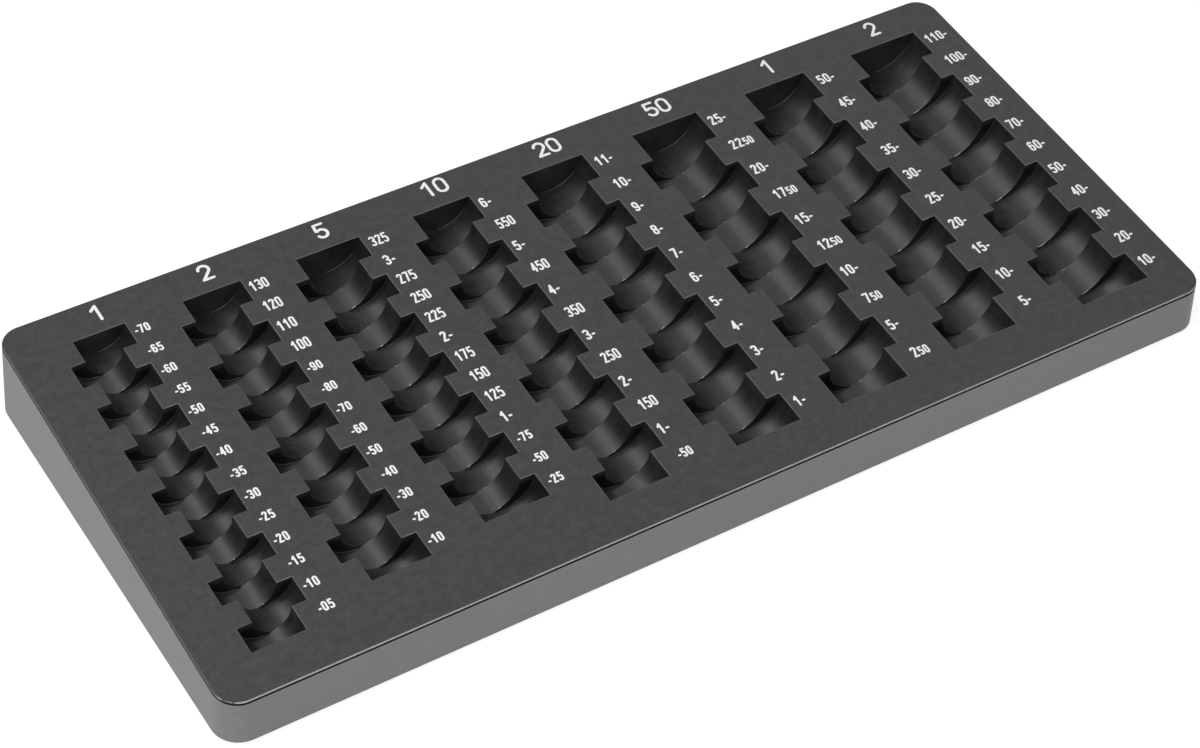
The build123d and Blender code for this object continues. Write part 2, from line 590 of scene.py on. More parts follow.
def new_group(
    name: str, sizes: dict[str, float], outputs: Sequence[str]
) -> tuple[Wiring, bpy.types.NodeOutputs, bpy.types.NodeInputs]:
    """Starts a shader node group that draws its pattern at a Position.

    Args:
        name: the group's name.
        sizes: its other inputs, each with a standing value.
        outputs: its outputs, which are plain values.

    Returns:
        Its wiring, what comes into it and what goes out of it.
    """
    tree = bpy.data.node_groups.new(name, "ShaderNodeTree")
    sockets = tree.interface
    sockets.new_socket(name="Position", in_out="INPUT", socket_type="NodeSocketVector")
    for label, value in sizes.items():
        socket = sockets.new_socket(name=label, in_out="INPUT", socket_type="NodeSocketFloat")
        socket.default_value = value
    for label in outputs:
        sockets.new_socket(name=label, in_out="OUTPUT", socket_type="NodeSocketFloat")
    wires = Wiring(tree)
    return wires, wires.add("NodeGroupInput").outputs, wires.add("NodeGroupOutput").inputs


def grain_group() -> Tree:
    """The fine spark-eroded grain of a moulded surface.

    Returns:
        A group with Position and Size in, and Height (0 to 1) and Mottle (0 to 1) out.
    """
    wires, given, result = new_group("moulded_grain", {"Size": 0.0003}, ("Height", "Mottle"))
    place = given["Position"]
    scale = wires.math("DIVIDE", 1.0, given["Size"])
    fine = wires.noise(place, scale, 3.0, 0.6)
    pits = wires.cells(place, wires.math("MULTIPLY", scale, 0.8))["Distance"]
    wires.tree.links.new(wires.share(fine, 0.6, pits), result["Height"])
    broad = wires.noise(place, wires.math("MULTIPLY", scale, 0.16), 4.0, 0.55)
    wires.tree.links.new(broad, result["Mottle"])
    return wires.tree


def dust_group() -> Tree:
    """Sparse specks of dust and short lint, as a mask.

    Returns:
        A group with Position, Spacing and Amount in, and Mask (0 to 1) out.
    """
    wires, given, result = new_group("dust_specks", {"Spacing": 0.004, "Amount": 0.3}, ("Mask",))
    scale = wires.math("DIVIDE", 1.0, given["Spacing"])
    cells = wires.cells(given["Position"], scale)
    dice = wires.add("ShaderNodeSeparateColor", {"Color": cells["Color"]}).outputs
    largest = 0.045                  # radius of the largest speck, in shares of the spacing
    near = wires.math("LESS_THAN", cells["Distance"], wires.math("MULTIPLY", dice["Green"], largest))
    chosen = wires.math("LESS_THAN", dice["Red"], given["Amount"])
    faint = wires.math("MULTIPLY", wires.math("MULTIPLY", near, chosen), dice["Blue"])
    uneven = wires.noise(given["Position"], scale, 1.0)
    wires.tree.links.new(wires.math("MULTIPLY", faint, uneven), result["Mask"])
    return wires.tree


def streak_group() -> Tree:
    """Faint lines that run round a pocket, as a turned mould core leaves them.

    Returns:
        A group with Position and Pitch in, and Lines (0 to 1) and Patches (0 to 1) out.
    """
    wires, given, result = new_group("turned_streaks", {"Pitch": 0.0005}, ("Lines", "Patches"))
    place = given["Position"]
    scale = wires.math("DIVIDE", 1.0, given["Pitch"])
    flat = wires.add("ShaderNodeMapping", {"Vector": place, "Scale": (0.03, 1.0, 0.03)}).outputs["Vector"]
    wires.tree.links.new(wires.noise(flat, scale, 3.0, 0.7), result["Lines"])
    patches = wires.noise(place, wires.math("MULTIPLY", scale, 0.12), 3.0)
    wires.tree.links.new(patches, result["Patches"])
    return wires.tree


@dataclass(frozen=True)
class Shared:
    """The node groups that several finishes use, built once."""

    grain: Tree = field(default_factory=grain_group)
    dust: Tree = field(default_factory=dust_group)
    streaks: Tree = field(default_factory=streak_group)


def new_material(name: str) -> tuple[Material, Wiring]:
    """Starts a material with no nodes in it.

    Args:
        name: its name.

    Returns:
        The material and the wiring of its nodes.
    """
    material = bpy.data.materials.new(name)
    material.use_nodes = True
    material.node_tree.nodes.clear()
    return material, Wiring(material.node_tree)


@dataclass(frozen=True)
class Finish:
    """What every finish of the tray has: a name, two greys and a range of roughness."""

    name: str
    dark: float
    light: float
    roughness: Pair

    def material(self, shared: Shared) -> Material:
        """Builds the material.

        Args:
            shared: the node groups.

        Returns:
            The finished material.
        """
        material, wires = new_material(self.name)
        place = wires.add("ShaderNodeTexCoord").outputs["Object"]
        shader = wires.add("ShaderNodeBsdfPrincipled", self.surface(wires, shared, place))
        wires.add("ShaderNodeOutputMaterial", {"Surface": shader.outputs["BSDF"]})
        return material

    def surface(self, wires: Wiring, shared: Shared, place: Socket) -> Inputs:
        """The shader's inputs, which each kind of finish draws in its own way."""
        raise NotImplementedError


@dataclass(frozen=True)
class Plastic(Finish):
    """A plastic with a pattern that stands up a little, and with dust on it."""

    pitch: float             # metres
    relief: float            # metres
    dust: float = 0.25
    dust_spacing: ClassVar[float] = 0.004
    dust_colour: ClassVar[tuple[float, ...]] = colour(0.35, 0.35, 0.34)
    dust_strength: ClassVar[float] = 0.8

    def pattern(self, wires: Wiring, shared: Shared, place: Socket) -> tuple[Socket, Socket]:
        """The mask between the two greys, and the height of the relief."""
        raise NotImplementedError

    def surface(self, wires: Wiring, shared: Shared, place: Socket) -> Inputs:
        """The shader's inputs.

        Args:
            wires: the material's wiring.
            shared: the node groups.
            place: the Object position.

        Returns:
            Base colour, roughness and normal.
        """
        mask, height = self.pattern(wires, shared, place)
        specks = wires.group(shared.dust, Position=place, Spacing=self.dust_spacing, Amount=self.dust)
        body = wires.blend(mask, colour(self.dark), colour(self.light))
        dusty = wires.math("MULTIPLY", specks["Mask"], self.dust_strength)
        bump = {"Strength": 1.0, "Distance": self.relief, "Height": height}
        return {
            "Base Color": wires.blend(dusty, body, self.dust_colour),
            "Roughness": wires.spread(height, *self.roughness),
            "Normal": wires.add("ShaderNodeBump", bump).outputs["Normal"],
        }


@dataclass(frozen=True)
class Moulded(Plastic):
    """Black grained plastic, as on the deck, the skirt and the base plate."""

    def pattern(self, wires: Wiring, shared: Shared, place: Socket) -> tuple[Socket, Socket]:
        """The grain of the mould, with a broader mottle.

        Args:
            wires: the material's wiring.
            shared: the node groups.
            place: the Object position.

        Returns:
            The mask between the two greys, and the height of the grain.
        """
        grain = wires.group(shared.grain, Position=place, Size=self.pitch)
        fine, broad = wires.spread(grain["Height"]), wires.spread(grain["Mottle"])
        return wires.share(fine, 0.6, broad), grain["Height"]


@dataclass(frozen=True)
class Turned(Plastic):
    """Smooth satin plastic of the pockets, with faint lines round them."""

    slope: float = 0.0       # degrees, to lay the lines across the pockets
    dust_spacing: ClassVar[float] = 0.003
    dust_colour: ClassVar[tuple[float, ...]] = colour(0.3, 0.3, 0.29)

    def pattern(self, wires: Wiring, shared: Shared, place: Socket) -> tuple[Socket, Socket]:
        """Faint lines round the pockets, with frosted patches.

        Args:
            wires: the material's wiring.
            shared: the node groups.
            place: the Object position.

        Returns:
            The mask between the two greys, and the height of the lines.
        """
        turn = {"Rotation": (math.radians(-self.slope), 0, 0), "Vector": place}
        level = wires.add("ShaderNodeMapping", turn, vector_type="POINT").outputs["Vector"]
        streaks = wires.group(shared.streaks, Position=level, Pitch=self.pitch)
        grain = wires.group(shared.grain, Position=place, Size=self.pitch)
        patches = wires.spread(streaks["Patches"])
        frosted = wires.math("MULTIPLY", wires.spread(grain["Height"]), patches)
        return wires.share(wires.spread(streaks["Lines"]), 0.35, frosted), streaks["Lines"]


@dataclass(frozen=True)
class PrintingInk(Finish):
    """White pad-printing ink, a little uneven where it took less well."""

    grain_size: float        # metres

    def surface(self, wires: Wiring, shared: Shared, place: Socket) -> Inputs:
        """The shader's inputs, with a little less blue than the greys of the plastic.

        Args:
            wires: the material's wiring.
            shared: the node groups.
            place: the Object position.

        Returns:
            Base colour and roughness.
        """
        grain = wires.group(shared.grain, Position=place, Size=self.grain_size)
        thin, full = (colour(tone, tone, tone - 0.01) for tone in (self.dark, self.light))
        return {
            "Base Color": wires.blend(wires.spread(grain["Mottle"]), thin, full),
            "Roughness": wires.spread(grain["Height"], *self.roughness),
        }


@dataclass
class Finishes:
    """Every material of the tray."""

    deck: Material
    edge: Material
    rubbed: Material
    step: Material
    pocket: Material
    skirt: Material
    base: Material
    rubber: Material
    ink: Material

    @classmethod
    def mixed(cls, slope: float) -> "Finishes":
        """Builds all the materials.

        Args:
            slope: the deck's slope in degrees, which the lines of the pockets follow.

        Returns:
            The tray's materials.
        """
        recipes = {
            "deck": Moulded("deck_plastic", 0.002, 0.038, (0.44, 0.62), 0.0005, 0.00004),
            # a smoother finish for rounded edges, whose lighter grey also paints a faint highlight along
            # them
            "edge": Moulded("edge_plastic", 0.045, 0.065, (0.24, 0.34), 0.00028, 0.00001),
            # a painted highlight: far lighter than the deck, on the front rim and low on the crests
            "rubbed": Moulded("rubbed_edge", 0.200, 0.320, (0.20, 0.30), 0.0006, 0.00001),
            "pocket": Turned("pocket_plastic", 0.002, 0.026, (0.32, 0.50), 0.0005, 0.00003, 0.3, slope),
            # painted shade: darker than the pockets, on the steps that face the front
            "step": Turned("step_plastic", 0.001, 0.004, (0.26, 0.36), 0.0005, 0.00001, 0.3, slope),
            "skirt": Moulded("skirt_plastic", 0.122, 0.158, (0.45, 0.58), 0.0004, 0.00003),
            "base": Moulded("base_plastic", 0.030, 0.042, (0.50, 0.65), 0.0005, 0.00005),
            "rubber": Moulded("foot_rubber", 0.020, 0.030, (0.75, 0.90), 0.0004, 0.00006, 0.5),
            "ink": PrintingInk("white_ink", 0.84, 0.93, (0.45, 0.60), 0.00025),
        }
        shared = Shared()
        return cls(**{part: recipe.material(shared) for part, recipe in recipes.items()})


@dataclass
class Assembly:
    """What every sub-assembly is built with: the shared sizes and the finishes."""

    layout: TrayLayout
    finishes: Finishes

    def build(self) -> None:
        """Builds the sub-assembly and puts it in its place."""
        raise NotImplementedError


# ---------------------------------------------------------------- the deck


@dataclass
class DeckPanel(Assembly):
    """The printed deck with its rim, its seat in the skirt and the mouths of the pockets."""

    thickness: float = 2.2
    rim_height: float = 0.5
    rim_round: float = 0.36
    seam_depth: float = 1.0
    seam_level: float = 1.3
    seat_inset: float = 2.95
    mouth_round: float = 0.32
    lip_round: float = 0.08
    rim_margin: float = 3.0      # the rim's edges lie within this distance of the outline
    rib_thickness: float = 1.2
    rib_depth: float = 4.0
    rib_length: float = 96.0
    front_share: float = 0.25    # share of its normal from which a rounded face looks to the front
    plain: ClassVar[int] = 0     # the numbers of the deck's materials
    # 1 is the edge finish, whose lighter grey paints a faint highlight on rounded edges
    edge: ClassVar[int] = 1
    dark: ClassVar[int] = 2
    # 3 is a painted highlight on the rim's rounding along the front
    rubbed: ClassVar[int] = 3

    def build(self) -> None:
        """Builds the deck and puts it in its place."""
        finishes = self.finishes
        slab = self.slab()
        self.layout.cut_pockets(slab, self.layout.columns())
        self.add_ribs(slab)
        paint(slab, (finishes.deck, finishes.edge, finishes.pocket, finishes.rubbed))
        sort_faces(slab, self.wall_finish)
        self.round_edges(slab)
        sort_faces(slab, self.rim_finish)
        deliver(slab, self.layout.deck_to_row, "deck", "deck_panel")

    def slab(self) -> Piece:
        """The deck before its mouths are cut.

        Returns:
            The slab in deck axes, with the rim, the shadow line and the seat.
        """
        layout = self.layout
        slab = layout.wedge("deck_panel_dressed")
        layout.trim(slab, 0.0, True)
        layout.trim(slab, self.rim_height, False)
        slab.data.transform(layout.deck_to_row.inverted())
        open_mesh(slab, Part.FACE)
        pick(slab, Part.FACE, lambda face: face.normal.y > FLAT)
        steps = (
            (self.seam_depth, self.seam_level - self.rim_height),
            (self.seat_inset - self.seam_depth, self.thickness - self.seam_level),
        )
        for inset, drop in steps:
            bpy.ops.mesh.inset(thickness=inset)
            bpy.ops.mesh.extrude_region_move(TRANSFORM_OT_translate={"value": (0, drop, 0)})
        for column in layout.columns():
            select_mesh(Part.FACE, True)
            bpy.ops.mesh.bisect(plane_co=(layout.middle_x(column), 0, 0), plane_no=(1, 0, 0))
        close_mesh()
        return slab

    def add_ribs(self, slab: Piece) -> None:
        """Hangs a stiffening rib under each strip between two columns.

        Args:
            slab: the deck's slab in deck axes.
        """
        layout = self.layout
        top, bottom = self.thickness / 2, self.thickness + self.rib_depth
        for column in layout.columns()[:-1]:
            strip = column.right + layout.shift + layout.gap / 2
            middle = (strip, (top + bottom) / 2, layout.plan[1] / 2)
            rib = new_block("rib", middle, (self.rib_thickness, bottom - top, self.rib_length))
            cut(slab, rib, Cut.JOIN)

    def on_rim(self, point: Vector) -> bool:
        """Tells whether a point lies at the outline of the deck.

        Args:
            point: a point in deck axes.

        Returns:
            True within the rim's margin.
        """
        length, depth = self.layout.plan
        low, high = self.rim_margin, depth - 2 * self.rim_margin
        return abs(point.x) > length / 2 - self.rim_margin or not low <= point.z <= high

    def round_edges(self, slab: Piece) -> None:
        """Rounds the mouths, the rim and the lip over the shadow line.

        Args:
            slab: the cut deck in deck axes.
        """
        def at(edge: Edge, level: float, on_rim: bool) -> bool:
            """Tells whether a square edge lies at a level, and on the rim or off it."""
            middle = middle_of(edge)
            return turn_at(edge) > SQUARE and abs(middle.y - level) < HAIR and self.on_rim(middle) == on_rim

        # the roundings take the edge finish, a lighter grey that paints a faint highlight
        round_off(slab, lambda edge: at(edge, 0, False), self.mouth_round, 3, self.edge)
        round_off(slab, lambda edge: at(edge, 0, True), self.rim_round, 5, self.edge)
        round_off(slab, lambda edge: at(edge, self.rim_height, True), self.lip_round, 2, self.edge)

    def wall_finish(self, face: Face) -> int:
        """The finish of a face before the edges are rounded.

        Args:
            face: a face of the deck.

        Returns:
            The dark finish's number for a wall of a mouth or of the shadow line.
        """
        level = face.center.y
        if self.on_rim(face.center):
            walled = self.rim_height - HAIR < level < self.seam_level + HAIR
        else:
            walled = abs(face.normal.y) < FLAT and level < self.thickness
        return self.dark if walled else self.plain

    def rim_finish(self, face: Face) -> int:
        """The painted highlight on the rim's rounding along the front, given after the rounding."""
        rounded = face.material_index == self.edge and self.on_rim(face.center)
        return self.rubbed if rounded and -face.normal.z > self.front_share else face.material_index


# ---------------------------------------------------------------- the channels


@dataclass
class Channel(Assembly):
    """One moulded trough of half-round pockets under the deck."""

    column: Column
    top: float = 2.2             # level of its upper face under the deck's surface
    wall: float = 1.3
    crest_round: float = 0.28    # rounding of the arcs between neighbouring pockets
    corner_round: float = 0.14   # hollow in the corner of a pocket's floor and its end wall
    crossing_clear: float = 1.6  # both die out this far from where two neighbouring floors cross
    rear_zone: float = 1.0       # what lies less than this before the rear end belongs to it
    # how far up a pocket's side the painted highlight reaches, as a sine: on a crest to the right the bright
    # and the faint part, on a crest to the left the faint part, and then in a corner
    worn_crest: Triple = (0.45, 0.75, 0.40)
    worn_corner: float = 0.80
    tab: Triple = (12.0, 1.5, 5.0)
    stake: Pair = (5.2, 1.8)
    plain: ClassVar[int] = 0     # the numbers of the trough's materials
    # 1 and 2 are a faint and a bright painted highlight on the crests and corners
    handled: ClassVar[int] = 1
    rubbed: ClassVar[int] = 2
    # 3 is painted shade on the steps that face the front
    dark: ClassVar[int] = 3

    def build(self) -> None:
        """Builds the trough and puts it in its place."""
        finishes = self.finishes
        block = self.shell()
        self.add_tabs(block)
        self.layout.cut_pockets(block, (self.column,))
        paint(block, (finishes.pocket, finishes.edge, finishes.rubbed, finishes.step))
        sort_faces(block, self.wall_finish)
        round_off(block, self.on_crest, self.crest_round, 3, self.handled)
        round_off(block, self.in_corner, self.corner_round, 3, self.rubbed)
        sort_faces(block, self.round_finish)
        deliver(block, self.layout.deck_to_row, "channel", self.column.node)

    @property
    def ends(self) -> Pair:
        """The rear and the front end of the pockets."""
        return self.layout.pocket_end(self.column, 0), self.layout.pocket_end(self.column, self.column.count)

    def shell(self) -> Piece:
        """The trough before its pockets are cut.

        Returns:
            A block in deck axes with its two lower long edges cut off flat.
        """
        outer = self.column.radius + self.wall
        flat = math.tan(math.radians(22.5)) * outer
        rear, front = self.ends[0] + self.wall, self.ends[1] - self.wall
        middle = (self.layout.middle_x(self.column), (self.top + outer) / 2, (rear + front) / 2)
        size = (2 * outer + self.layout.shift, outer - self.top, rear - front)
        block = new_block(self.column.node + "_dressed", middle, size)

        def low_and_long(edge: Edge) -> bool:
            """Tells whether an edge is one of the two lower long ones."""
            one, two = (vertex.co for vertex in edge.verts)
            return min(one.y, two.y) > outer - NEAR and abs(one.z - two.z) > NEAR

        round_off(block, low_and_long, outer - flat, 1, -1)
        return block

    def add_tabs(self, block: Piece) -> None:
        """Adds the fixing tab at each end, with the slot for its melted stake.

        Args:
            block: the trough in deck axes.
        """
        across, thick, along = self.tab
        middle = self.layout.middle_x(self.column)
        tab, slot = (across, thick, along + self.wall), (self.stake[0], 3 * thick, self.stake[1])
        beyond = self.wall + along / 2
        for z in (self.ends[0] + beyond, self.ends[1] - beyond):
            for how, size in ((Cut.JOIN, tab), (Cut.AWAY, slot)):
                cut(block, new_block("tab", (middle, self.top + thick / 2, z), size), how)

    def on_arc(self, edge: Edge) -> bool:
        """Tells whether an edge lies on an arc at a pocket's end, clear of where two arcs cross.

        Args:
            edge: an edge of the cut trough.

        Returns:
            True for an edge across the trough at the pockets' radius.
        """
        middle = middle_of(edge)
        one, two = (vertex.co for vertex in edge.verts)
        if middle.y < self.top + HAIR or abs(one.z - two.z) > HAIR:
            return False
        right, left = (self.layout.pocket_middle_x(self.column, index) for index in (0, 1))
        radius = self.column.radius
        deep = math.sqrt(radius ** 2 - (self.layout.shift / 2) ** 2)
        crossing = Vector(((left + right) / 2, deep))
        if any((Vector((end.x, end.y)) - crossing).length < self.crossing_clear for end in (one, two)):
            return False
        return any(abs(math.hypot(middle.x - x, middle.y) - radius) < NEAR for x in (left, right))

    def on_crest(self, edge: Edge) -> bool:
        """Tells whether an edge is the arc where a pocket's floor drops to its neighbour's."""
        return turn_at(edge) > SQUARE and self.on_arc(edge)

    def in_corner(self, edge: Edge) -> bool:
        """Tells whether an edge is the arc where a pocket's floor meets an end wall."""
        return turn_at(edge) < -SQUARE and self.on_arc(edge)

    def at_rear(self, face: Face) -> bool:
        """Tells whether a face belongs to the rear end of the rearmost pocket."""
        return face.center.z > self.ends[0] - self.rear_zone

    def wall_finish(self, face: Face) -> int:
        """Painted shade, a darker finish, on the steps that face the front, but for the rearmost wall."""
        return self.dark if face.normal.z < -FLAT and not self.at_rear(face) else self.plain

    def round_finish(self, face: Face) -> int:
        """The finish of a rounded face; every other face keeps its own.

        A painted highlight lies on the crests that stand to the right of a floor, bright near its lowest
        line and faint above it, a faint one low on the crests to the left, and a faint one in the hollow
        corners to the left. The corner of the rearmost pocket has it to the right.

        Args:
            face: a face of the trough, its crests first given the faint painted highlight and its corners
                the bright one.

        Returns:
            The number of its material.
        """
        found = face.material_index
        aside = abs(face.normal.x) / max(math.hypot(face.normal.x, face.normal.y), 1e-6)
        to_right = face.center.x > self.layout.middle_x(self.column)
        bright, right, left = self.worn_crest
        if found == self.rubbed:
            highlighted = aside < self.worn_corner and to_right == self.at_rear(face)
        elif found == self.handled:
            if to_right and aside < bright:
                return self.rubbed
            highlighted = aside < (right if to_right else left)
        else:
            return found
        return self.handled if highlighted else self.plain


# ---------------------------------------------------------------- the skirt and the underside


@dataclass
class Housing(Assembly):
    """The drafted skirt that carries the deck and takes the base plate."""

    wall: float = 2.8
    ledge_wall: float = 1.9
    ledge_rise: float = 2.2
    seam_level: float = 1.3
    top_round: float = 0.12
    foot_round: float = 0.35

    def build(self) -> None:
        """Builds the skirt and puts it in its place."""
        ring = self.layout.wedge("housing_dressed")
        self.layout.trim(ring, self.seam_level, True)
        open_mesh(ring, Part.FACE)
        pick(ring, Part.FACE, lambda face: face.normal.z < -FLAT)
        bpy.ops.mesh.inset(thickness=self.ledge_wall)
        bpy.ops.mesh.extrude_region_move(TRANSFORM_OT_translate={"value": (0, 0, self.ledge_rise)})
        bpy.ops.mesh.inset(thickness=self.wall - self.ledge_wall)
        bpy.ops.mesh.delete(type="ONLY_FACE")
        pick(ring, Part.FACE, lambda face: face.normal.z > FLAT)
        bpy.ops.mesh.inset(thickness=self.wall)
        bpy.ops.mesh.delete(type="ONLY_FACE")
        select_mesh(Part.EDGE, False)
        pick(ring, Part.EDGE, lambda edge: edge.is_boundary)
        bpy.ops.mesh.bridge_edge_loops()
        face_outwards()
        close_mesh()
        paint(ring, (self.finishes.skirt, self.finishes.pocket))
        sort_faces(ring, lambda face: 1 if face.normal.z > FLAT else 0)

        def upper(edge: Edge) -> bool:
            """Tells whether an edge bounds the upper face."""
            return turn_at(edge) > SQUARE and any(face.normal.z > FLAT for face in edge.link_faces)

        def lower(edge: Edge) -> bool:
            """Tells whether an edge lies at the foot."""
            return turn_at(edge) > SQUARE and middle_of(edge).z < self.layout.skirt_foot + HAIR

        round_off(ring, upper, self.top_round, 3, 0)
        round_off(ring, lower, self.foot_round, 3, 0)
        deliver(ring, Matrix.Identity(4), "housing", "housing")


@dataclass
class Underside(Assembly):
    """The base plate and the rubber feet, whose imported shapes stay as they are."""

    plate_round: float = 0.0003      # metres
    foot_round: float = 0.0005       # metres
    round_from: float = 40.0         # turn in degrees from which an edge is rounded
    feet: tuple[str, ...] = ("foot_front_left", "foot_front_right", "foot_rear_left", "foot_rear_right")

    def build(self) -> None:
        """Gives the plate and the feet their finishes and rounded edges."""
        for name in self.feet:
            self.dress(name, self.finishes.rubber, self.foot_round)
        self.dress("base_plate", self.finishes.base, self.plate_round)

    def dress(self, name: str, material: Material, width: float) -> None:
        """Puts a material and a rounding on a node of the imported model.

        Args:
            name: the node's name.
            material: its finish.
            width: the rounding of its edges, in metres.
        """
        node = frame["nodes"][name]
        paint(node, (material,))
        weld = node.modifiers.new("weld", "WELD")
        weld.merge_threshold = 1e-6
        edges = node.modifiers.new("round", "BEVEL")
        edges.width = width
        edges.segments = 2
        edges.limit_method = "ANGLE"
        edges.angle_limit = math.radians(self.round_from)
        log.info("%s: dressed as it is", name)


# ---------------------------------------------------------------- the printed numbers


@dataclass(frozen=True)
class Lettering:
    """One size of the printed figures, in millimetres."""

    height: float
    width: float
    stroke: float
    gap: float
    dash: float = 0.42           # length of a dash, in shares of the box
    proud: float = 0.03          # how far the ink stands above the deck
    sink: float = 0.02           # how deep the ink reaches into the deck's surface
    layer: float = 0.0015        # each stroke lies this much over the one before
    disc_sides: int = 18
    bow_steps: int = 12          # facets of half a round

    @property
    def w(self) -> float:
        """Width of the box that the middle of the stroke keeps to."""
        return self.width - self.stroke

    @property
    def h(self) -> float:
        """Height of the box that the middle of the stroke keeps to."""
        return self.height - self.stroke


@dataclass(frozen=True)
class Bar:
    """A straight stroke with round ends, from x, y to end_x, end_y in shares of a figure's box."""

    x: float
    y: float
    end_x: float
    end_y: float


@dataclass(frozen=True)
class Bow:
    """A curved stroke as wide as the box, from one angle to another in degrees."""

    level: float                 # height of its middle, in shares of the box
    start: float
    end: float


class Figure(Enum):
    """The printed signs and the strokes that they are made of."""

    DASH = "-"
    ZERO = "0"
    ONE = "1"
    TWO = "2"
    THREE = "3"
    FOUR = "4"
    FIVE = "5"
    SIX = "6"
    SEVEN = "7"
    EIGHT = "8"
    NINE = "9"

    def strokes(self, size: Lettering) -> list[Bar | Bow]:
        """The strokes of this sign.

        Args:
            size: the lettering, for the proportion of its box.

        Returns:
            Bars and bows, with y from 0 at the foot to 1 at the top of the box.
        """
        low = 0.5 * size.w / size.h          # height of the lowest round's middle
        high = 1 - low
        waist = 0.52                         # where the two rounds of a three or an eight meet
        bowl = 0.60                          # height of the bowl of a five, a six or a nine
        neck = (0.5 + 0.5 * 0.788, high - low * 0.616)      # where the round of a two ends, at -38 degrees
        table = {
            Figure.DASH: [Bar(0, 0.36, size.dash, 0.36)],
            Figure.ZERO: [Bow(high, 0, 180), Bow(low, 180, 360), Bar(0, low, 0, high), Bar(1, low, 1, high)],
            Figure.ONE: [Bar(0.66, 0, 0.66, 1), Bar(0.66, 1, 0.14, 0.74)],
            Figure.TWO: [Bow(high, -38, 168), Bar(*neck, 0.02, 0), Bar(0.02, 0, 1, 0)],
            Figure.THREE: [
                Bow(high, 0, 155), Bar(1, waist + low, 1, high), Bow(waist + low, -90, 0),
                Bow(waist - low, 0, 90), Bar(1, low, 1, waist - low), Bow(low, -155, 0),
            ],
            Figure.FOUR: [Bar(0.74, 0, 0.74, 1), Bar(0.74, 1, 0, 0.28), Bar(0, 0.28, 1.04, 0.28)],
            Figure.FIVE: [
                Bar(0.12, 1, 0.95, 1), Bar(0.12, 1, 0.06, 0.55),
                Bow(bowl - low, 0, 130), Bar(1, low, 1, bowl - low), Bow(low, -155, 0),
            ],
            Figure.SIX: [
                Bow(low, 180, 360), Bar(1, low, 1, bowl - low), Bow(bowl - low, 0, 180),
                Bar(0, low, 0, high), Bow(high, 25, 180),
            ],
            Figure.SEVEN: [Bar(0, 1, 1, 1), Bar(1, 1, 0.36, 0)],
            Figure.EIGHT: [
                Bow(low, 180, 360), Bow(waist - low, 0, 180),
                Bar(0, low, 0, waist - low), Bar(1, low, 1, waist - low),
                Bow(waist + low, 180, 360), Bow(high, 0, 180),
                Bar(0, waist + low, 0, high), Bar(1, waist + low, 1, high),
            ],
            Figure.NINE: [
                Bow(high, 0, 180), Bar(0, 1 - bowl + low, 0, high), Bow(1 - bowl + low, 180, 360),
                Bar(1, low, 1, high), Bow(low, 205, 360),
            ],
        }
        return table[self]


